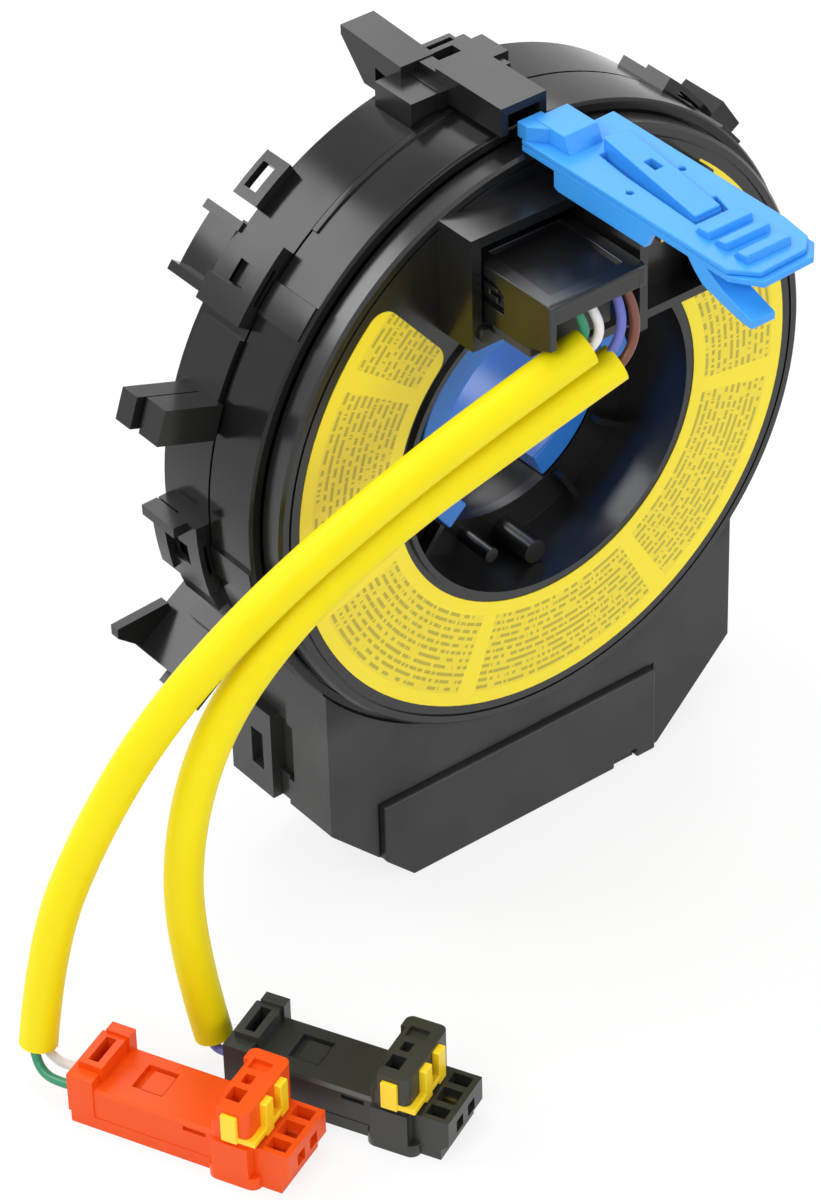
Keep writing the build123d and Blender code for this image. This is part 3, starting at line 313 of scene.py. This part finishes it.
def case_plastic(name):
    """Glass-filled PBT: polished black on the ring's wall, spark-eroded matte grey-black on the block."""
    material, tree = new_material(name)
    coords, parts, radius = around_axis(tree)
    block = node(tree, "ShaderNodeMapRange", {
        "Value": parts["Z"], "From Min": BLOCK_START, "From Max": BLOCK_FULL})
    outer = node(tree, "ShaderNodeMapRange", {
        "Value": radius, "From Min": WALL_RADIUS, "From Max": FITTING_RADIUS, "To Max": FITTING_MATTE})
    matte = node(tree, "ShaderNodeMath", {0: block.outputs[0], 1: outer.outputs[0]}, operation="MAXIMUM")
    cloud = node(tree, "ShaderNodeTexNoise", {"Vector": coords, "Scale": 1 / (18 * MM), "Detail": 4.0})
    smear = node(tree, "ShaderNodeMapRange", {
        "Value": cloud.outputs["Fac"], "From Min": 0.3, "From Max": 0.7, "To Min": -0.05, "To Max": 0.07})
    polish = node(tree, "ShaderNodeMapRange", {"Value": matte.outputs[0], "To Min": 0.17, "To Max": 0.36})
    rough = node(tree, "ShaderNodeMath", {0: polish.outputs[0], 1: smear.outputs[0]}, operation="ADD")
    shade = node(tree, "ShaderNodeMixRGB", {
        "Fac": matte.outputs[0], "Color1": srgb("0d0d0d"), "Color2": srgb("404040")})
    tint = node(tree, "ShaderNodeMixRGB", {
        "Fac": cloud.outputs["Fac"], "Color1": shade.outputs[0], "Color2": srgb("1c1c1c")})
    grain = node(tree, "ShaderNodeTexNoise", {"Vector": coords, "Scale": 1 / (0.45 * MM), "Detail": 2.0})
    depth = node(tree, "ShaderNodeMapRange", {"Value": matte.outputs[0], "To Min": 0.05, "To Max": 0.35})
    bump = node(tree, "ShaderNodeBump", {
        "Height": grain.outputs["Fac"], "Strength": depth.outputs[0], "Distance": BUMP_HEIGHT})
    surface = node(tree, "ShaderNodeBsdfPrincipled", {
        "Base Color": tint.outputs[0], "Roughness": rough.outputs[0], "Normal": bump.outputs["Normal"],
        "IOR": 1.55, "Specular IOR Level": 0.25})
    node(tree, "ShaderNodeOutputMaterial", {"Surface": surface.outputs["BSDF"]})
    return material


def brass(name):
    """Stamped brass: warm metal, lightly drawn along the contacts' length."""
    material, tree = new_material(name)
    coords = node(tree, "ShaderNodeTexCoord").outputs["Object"]
    stretch = node(tree, "ShaderNodeMapping", {"Vector": coords, "Scale": (1.0, 0.08, 1.0)})
    lines = node(tree, "ShaderNodeTexNoise", {"Vector": stretch.outputs["Vector"], "Scale": 1 / (0.2 * MM)})
    rough = node(tree, "ShaderNodeMapRange", {
        "Value": lines.outputs["Fac"], "To Min": 0.2, "To Max": 0.42})
    surface = node(tree, "ShaderNodeBsdfPrincipled", {
        "Base Color": srgb("d8b468"), "Metallic": 1.0, "Roughness": rough.outputs["Result"]})
    node(tree, "ShaderNodeOutputMaterial", {"Surface": surface.outputs["BSDF"]})
    return material


label_yellow = printed_film("film_label_yellow")
case_black = case_plastic("pbt_case_black")
contact_brass = brass("brass_contacts")

FINISHES = {
    "front_case": case_black, "rear_cover": case_black, "block_cover_plate": case_black,
    "column_socket": case_black, "column_pins": contact_brass, "case_cable_joint": holder_grey,
    "slide_sheet": slide_white, "flat_cable": cable_film, "rotor": gloss_black,
    "rotor_cable_joint": holder_grey, "rear_sleeve": case_black, "cancel_ring": ring_blue,
    "label": label_yellow, "switch_pins": contact_brass, "wire_holder": holder_grey,
}
for colour, body_plastic in (("orange", plug_orange), ("black", plug_black)):
    FINISHES[f"{colour}_plug_body"] = body_plastic
    FINISHES[f"{colour}_plug_base"] = body_plastic
    FINISHES[f"{colour}_plug_lock"] = lock_yellow
    FINISHES[f"{colour}_plug_terminals"] = contact_brass
for name, material in FINISHES.items():
    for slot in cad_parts[name].material_slots:
        slot.material = material
for lead in leads:
    lead.data.materials.append(sleeve_yellow)
for colour, wire in wires.items():
    wire.data.materials.append(wire_colours[colour])


# ---------------------------------------------------------------- moulded pieces
# how far a shape reaches into the one that it stands on
SINK = 0.1


def corner_loop(form, points):
    """Edges of a closed outline through a few corner points, in millimetres."""
    corners = [form.verts.new(Vector(point) * MM) for point in points]
    return [form.edges.new(pair) for pair in zip(corners, corners[1:] + corners[:1])]


def round_loop(form, centre, radius):
    """Edges of a small round hole in a level plate."""
    place = Matrix.Translation(Vector(centre) * MM)
    made = bmesh.ops.create_circle(form, segments=20, radius=radius * MM, matrix=place)
    return list({edge for vert in made["verts"] for edge in vert.link_edges})


def fill_and_extrude(form, edges, depth):
    """Fills an outline with its holes, then gives it a depth; returns the moved corners."""
    filled = bmesh.ops.triangle_fill(form, use_beauty=True, use_dissolve=False, edges=edges)
    faces = [item for item in filled["geom"] if isinstance(item, bmesh.types.BMFace)]
    made = bmesh.ops.extrude_face_region(form, geom=faces)
    moved = [item for item in made["geom"] if isinstance(item, bmesh.types.BMVert)]
    bmesh.ops.translate(form, verts=moved, vec=Vector(depth) * MM)
    bmesh.ops.dissolve_limit(form, angle_limit=0.01, verts=[], edges=form.edges)
    return [vert for vert in moved if vert.is_valid]


def level_plate(form, outline, low, high, holes=(), rounds=()):
    """A plate between two heights, with holes through it."""
    edges = corner_loop(form, [(x, y, low) for x, y in outline])
    for hole in holes:
        edges += corner_loop(form, [(x, y, low) for x, y in hole])
    for x, y, radius in rounds:
        edges += round_loop(form, (x, y, low), radius)
    return fill_and_extrude(form, edges, (0, 0, high - low))


def side_plate(form, outline, left, right, holes=()):
    """An upright plate across X from an outline in Y and Z."""
    edges = corner_loop(form, [(left, y, z) for y, z in outline])
    for hole in holes:
        edges += corner_loop(form, [(left, y, z) for y, z in hole])
    return fill_and_extrude(form, edges, (right - left, 0, 0))


def block_between(form, x0, x1, y0, y1, z0, z1):
    """A square-cornered block from its six faces' places."""
    level_plate(form, [(x0, y0), (x1, y0), (x1, y1), (x0, y1)], z0, z1)


SHARP_ANGLE = 0.6


def round_edges(piece, edge_mm, clamp):
    """Small rounds on a piece's sharp edges."""
    soft = piece.modifiers.new("edge_round", "BEVEL")
    soft.width = edge_mm * MM
    soft.segments = 2
    soft.limit_method = "ANGLE"
    soft.angle_limit = SHARP_ANGLE
    soft.use_clamp_overlap = clamp
    soft.harden_normals = True


def finish_piece(form, name, material, body, replaced, edge_mm):
    """Turns the built shape into a piece with rounded edges, riding on its body."""
    bmesh.ops.recalc_face_normals(form, faces=form.faces)
    mesh = bpy.data.meshes.new(name)
    form.to_mesh(mesh)
    form.free()
    mesh.materials.append(material)
    piece = bpy.data.objects.new(name, mesh)
    bpy.context.scene.collection.objects.link(piece)
    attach(piece, body)
    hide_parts(replaced)
    round_edges(piece, edge_mm, False)


# lock clip, in millimetres
CLIP_TOP = 52.5
CLIP_SEAM = CLIP_TOP - 0.9
CLIP_LOW = CLIP_TOP - 1.9
CLIP_LEFT = -3.6
CLIP_RIGHT = 11.6
TONGUE_RISE = 2.5
BLOCK_RISE = 2.7
FINGER_ROOT = -8.4
FINGER_RISE = 1.5
FINGER_SLOPE = 0.055
SKIRT_WALL = 1.3
RAIL_WALL = 1.4
RAIL_FOOT = 46.1
RAIL_LEFTS = (1.0, 8.6)
PRONG_WIDTH = 4.4
THUMB_RIBS = ((-36.7, -33.3), (-40.4, -37.3), (-44.7, -41.4))


def add_lock_clip():
    """Plate in two layers, raised tongue, spring finger, thumb ribs, skirts, rails and prong."""
    form = bmesh.new()
    root = CLIP_LOW + SINK
    ledge = CLIP_TOP - SINK
    # the spring finger's slot runs down its left side, round its end and a little up its right side
    slot = [(2.3, -9.2), (3.7, -9.4), (3.2, -13.6), (1.3, -31.4), (6.2, -31.4), (7.2, -28.2), (7.8, -28.4),
            (6.8, -32.1), (0.8, -32.1), (1.5, -16.2)]
    square = [(4.3, -19.1), (5.9, -19.1), (5.9, -16.6), (4.3, -16.6)]
    pins = [(8.9, -19.8, 0.5), (-0.9, -19.9, 0.5)]
    rear_edge = [(CLIP_RIGHT, -38.9), (CLIP_RIGHT, -1.3), (4.8, -1.5), (4.8, 1.2)]
    upper = [(CLIP_LEFT, 1.2), (CLIP_LEFT, -43.6), (-0.4, -47.3), (8.4, -46.8), (10.8, -44.4), *rear_edge]
    lower = [(CLIP_LEFT, 1.2), (CLIP_LEFT, -44.3), (-0.8, -48.5), (8.7, -48.0), (11.3, -45.2), *rear_edge]
    level_plate(form, upper, CLIP_SEAM, CLIP_TOP, [slot, square], pins)
    level_plate(form, lower, CLIP_LOW, CLIP_SEAM, [slot, square], pins)
    # tongue and block at the rear, with a sloping front
    tongue = [(-3.5, 2.3), (-3.5, 0.2), (-1.3, -2.5), (1.0, -2.5), (1.0, 2.3)]
    level_plate(form, tongue, ledge, CLIP_TOP + TONGUE_RISE)
    block_top = CLIP_TOP + BLOCK_RISE
    side_plate(form, [(1.2, ledge), (1.2, block_top), (-5.7, block_top), (-7.0, ledge)], -1.3, 5.0)
    # finger, whose top falls towards its free end
    finger = [(3.7, FINGER_ROOT), (8.2, -8.8), (6.1, -31.3), (1.3, -31.3)]
    for vert in level_plate(form, finger, root, CLIP_TOP + 0.4, [square]):
        vert.co.z += (FINGER_RISE + (vert.co.y / MM - FINGER_ROOT) * FINGER_SLOPE) * MM
    for front, back in THUMB_RIBS:
        rib = [(front, ledge), (front + 0.4, CLIP_TOP + 1.2), (back - 0.9, CLIP_TOP + 1.0), (back, ledge)]
        side_plate(form, rib, -0.6, 7.6)
    # skirts along both edges, and rails that slide on the box
    side_plate(form, [(-6.0, root), (-6.0, 47.8), (-6.9, 47.4), (-26.2, 47.4), (-27.8, root)],
               CLIP_LEFT, CLIP_LEFT + SKIRT_WALL)
    side_plate(form, [(-6.3, root), (-6.3, 48.6), (-25.0, 48.6), (-26.0, root)],
               CLIP_RIGHT - RAIL_WALL, CLIP_RIGHT)
    for left in RAIL_LEFTS:
        side_plate(form, [(-1.2, root), (-1.2, RAIL_FOOT), (-7.4, RAIL_FOOT), (-7.4, root)],
                   left, left + RAIL_WALL)
    # prong that slants forward under the plate
    side_plate(form, [(-35.2, root), (-36.7, 49.0), (-38.6, 47.4), (-42.5, 46.3), (-47.0, 45.3),
                      (-49.1, 45.2), (-49.1, 46.5), (-42.8, 48.6), (-39.0, root)],
               CLIP_LEFT, CLIP_LEFT + PRONG_WIDTH)
    finish_piece(form, "lock_clip_moulding", clip_blue, "clip", "lock_clip", 0.22)


# wire cover, in millimetres
COVER_LEFT = -17.6
COVER_RIGHT = 0.2
COVER_FRONT = -22.2
COVER_TOP = 41.2
COVER_LOW = 31.6
COVER_MOUTH = 37.6
COVER_SEAM = 40.3
COVER_WALL = 1.3
ROOF_DROP = 1.9
PANEL_DROP = 0.6
FRAME_OVERHANG = 0.06
PANEL_INSET = 0.3
LIP_ROUND = 0.7


def add_wire_cover():
    """Hood over the wires: open below, sunk panel on top, latch in a window of its left wall."""
    form = bmesh.new()
    inner_left = COVER_LEFT + COVER_WALL
    inner_right = COVER_RIGHT - COVER_WALL
    window = [(-11.6, 34.6), (-6.2, 34.6), (-6.2, 39.0), (-9.4, 39.0), (-11.6, 38.0)]
    side_plate(form, [(0.0, COVER_LOW), (-17.0, COVER_LOW), (COVER_FRONT, 33.4), (COVER_FRONT, COVER_SEAM),
                      (0.0, COVER_SEAM)], COVER_LEFT, inner_left, [window])
    side_plate(form, [(0.0, COVER_LOW), (-15.6, COVER_LOW), (-16.6, COVER_MOUTH), (COVER_FRONT, COVER_MOUTH),
                      (COVER_FRONT, COVER_SEAM), (0.0, COVER_SEAM)], inner_right, COVER_RIGHT)
    # latch that stands in the window
    side_plate(form, [(-6.0, 35.6), (-10.2, 35.6), (-10.2, 36.7), (-8.4, 36.7), (-8.4, 37.4), (-10.2, 37.4),
                      (-10.2, 38.2), (-6.0, 38.2)], COVER_LEFT + 0.1, COVER_LEFT + 0.9)
    block_between(form, inner_left - 0.2, inner_right + 0.2, COVER_FRONT, COVER_FRONT + COVER_WALL,
                  COVER_MOUTH, COVER_SEAM)
    # sunk panel, then the raised frame round it
    block_between(form, COVER_LEFT + PANEL_INSET, COVER_RIGHT - PANEL_INSET, COVER_FRONT + PANEL_INSET,
                  -0.1, COVER_TOP - ROOF_DROP, COVER_TOP - PANEL_DROP)
    left, right = COVER_LEFT - FRAME_OVERHANG, COVER_RIGHT + FRAME_OVERHANG
    front = COVER_FRONT - FRAME_OVERHANG
    outline = [(left, 0.0), (left, front), (right, front), (right, 0.0)]
    opening = [(COVER_LEFT + 2.6, -5.2), (COVER_LEFT + 2.2, -19.6), (COVER_RIGHT - 2.4, -19.6),
               (COVER_RIGHT - 2.0, -5.2)]
    top = level_plate(form, outline, COVER_SEAM - 0.2, COVER_TOP, [opening])
    lip = [edge for edge in form.edges if all(
        vert in top and vert.co.y < (COVER_FRONT + 0.1) * MM for vert in edge.verts)]
    bmesh.ops.bevel(form, geom=lip, offset=LIP_ROUND * MM, segments=4, affect="EDGES", profile=0.5,
                    material=-1)
    finish_piece(form, "wire_cover_hood", gloss_black, "rotor", "wire_cover", 0.2)


add_lock_clip()
add_wire_cover()

# small rounds on the moulded edges, in millimetres
EDGE_ROUNDS = {
    "front_case": 0.25, "rear_cover": 0.25, "block_cover_plate": 0.2, "rotor": 0.3,
    "wire_holder": 0.3, "cancel_ring": 0.3, "column_socket": 0.2,
}
for colour in ("orange", "black"):
    for part, edge_mm in (("body", 0.22), ("base", 0.25), ("lock", 0.2)):
        EDGE_ROUNDS[f"{colour}_plug_{part}"] = edge_mm
WELD_GAP = 0.002 * MM


def round_moulding(piece, edge_mm):
    """Joins the loose triangles, rounds the edges and evens the shading of the walls between them."""
    weld = piece.modifiers.new("join", "WELD")
    weld.merge_threshold = WELD_GAP
    round_edges(piece, edge_mm, True)
    even = piece.modifiers.new("even_normals", "WEIGHTED_NORMAL")
    even.weight = 60
    even.keep_sharp = True


for name, edge_mm in EDGE_ROUNDS.items():
    round_moulding(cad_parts[name], edge_mm)


# ---------------------------------------------------------------- stage
FLOOR_HALF = 1.5
FLOOR_GAP = 0.02 * MM
FLOOR_GLOW = 0.8
SKY_LEVEL = 0.38

# each lamp's place and size in metres, and its watts
SOFTBOXES = {
    "key_left": ((-0.9, -0.35, 0.75), (0.7, 0.5), 6.5),
    "front_fill": ((0.35, -1.1, 0.55), (0.7, 0.7), 6.5),
    "top": ((0.1, 0.2, 1.15), (0.8, 0.8), 6.5),
    "back_left": ((-0.62, 0.83, 0.75), (0.8, 0.5), 7.0),
    "back_right": ((0.62, 0.83, 0.75), (0.9, 0.5), 3.5),
}


def white_rays(tree):
    """1 where a ray sees, mirrors or looks through to the backdrop, 0 where it only lights."""
    rays = node(tree, "ShaderNodeLightPath").outputs
    seen = node(tree, "ShaderNodeMath", {0: rays["Is Camera Ray"], 1: rays["Is Glossy Ray"]},
                operation="MAXIMUM")
    seen = node(tree, "ShaderNodeMath", {0: seen.outputs[0], 1: rays["Is Transmission Ray"]},
                operation="MAXIMUM")
    return seen.outputs[0]


def add_floor():
    """Pale paper floor that keeps the object's soft shadow."""
    mesh = bpy.data.meshes.new("floor")
    form = bmesh.new()
    bmesh.ops.create_grid(form, x_segments=1, y_segments=1, size=FLOOR_HALF)
    bmesh.ops.translate(form, verts=form.verts, vec=(0, 0, FLOOR_Z - FLOOR_GAP))
    form.to_mesh(mesh)
    form.free()
    floor = bpy.data.objects.new("floor", mesh)
    bpy.context.scene.collection.objects.link(floor)
    material, tree = new_material("paper_backdrop")
    white = node(tree, "ShaderNodeEmission", {"Color": srgb("ffffff"), "Strength": 1.0})
    paper = node(tree, "ShaderNodeBsdfDiffuse", {"Color": srgb("f2f2f2")})
    share = node(tree, "ShaderNodeMath", {0: white_rays(tree), 1: FLOOR_GLOW}, operation="MULTIPLY")
    mixed = node(tree, "ShaderNodeMixShader", {
        0: share.outputs[0], 1: paper.outputs[0], 2: white.outputs[0]})
    node(tree, "ShaderNodeOutputMaterial", {"Surface": mixed.outputs[0]})
    mesh.materials.append(material)


def add_world():
    """White surroundings that light the object with a plain soft sky."""
    world = bpy.data.worlds.new("studio")
    bpy.context.scene.world = world
    world.use_nodes = True
    tree = world.node_tree
    tree.nodes.clear()
    soft = node(tree, "ShaderNodeBackground", {"Color": srgb("e8ecf0"), "Strength": SKY_LEVEL})
    white = node(tree, "ShaderNodeBackground", {"Color": srgb("ffffff"), "Strength": 1.0})
    mixed = node(tree, "ShaderNodeMixShader", {
        0: white_rays(tree), 1: soft.outputs[0], 2: white.outputs[0]})
    node(tree, "ShaderNodeOutputWorld", {"Surface": mixed.outputs[0]})


def add_softbox(name, place, size, watts):
    """A rectangular lamp that faces the middle of the label and is not seen itself."""
    data = bpy.data.lights.new(name, "AREA")
    data.shape = "RECTANGLE"
    data.size, data.size_y = size
    data.energy = watts
    lamp = bpy.data.objects.new(name, data)
    lamp.location = place
    lamp.visible_camera = False
    lamp.rotation_euler = (-Vector(place)).to_track_quat("-Z", "Y").to_euler()
    bpy.context.scene.collection.objects.link(lamp)


add_floor()
add_world()
for name, (place, size, watts) in SOFTBOXES.items():
    add_softbox(name, place, size, watts)

scene = bpy.context.scene
scene.view_settings.view_transform = "Standard"
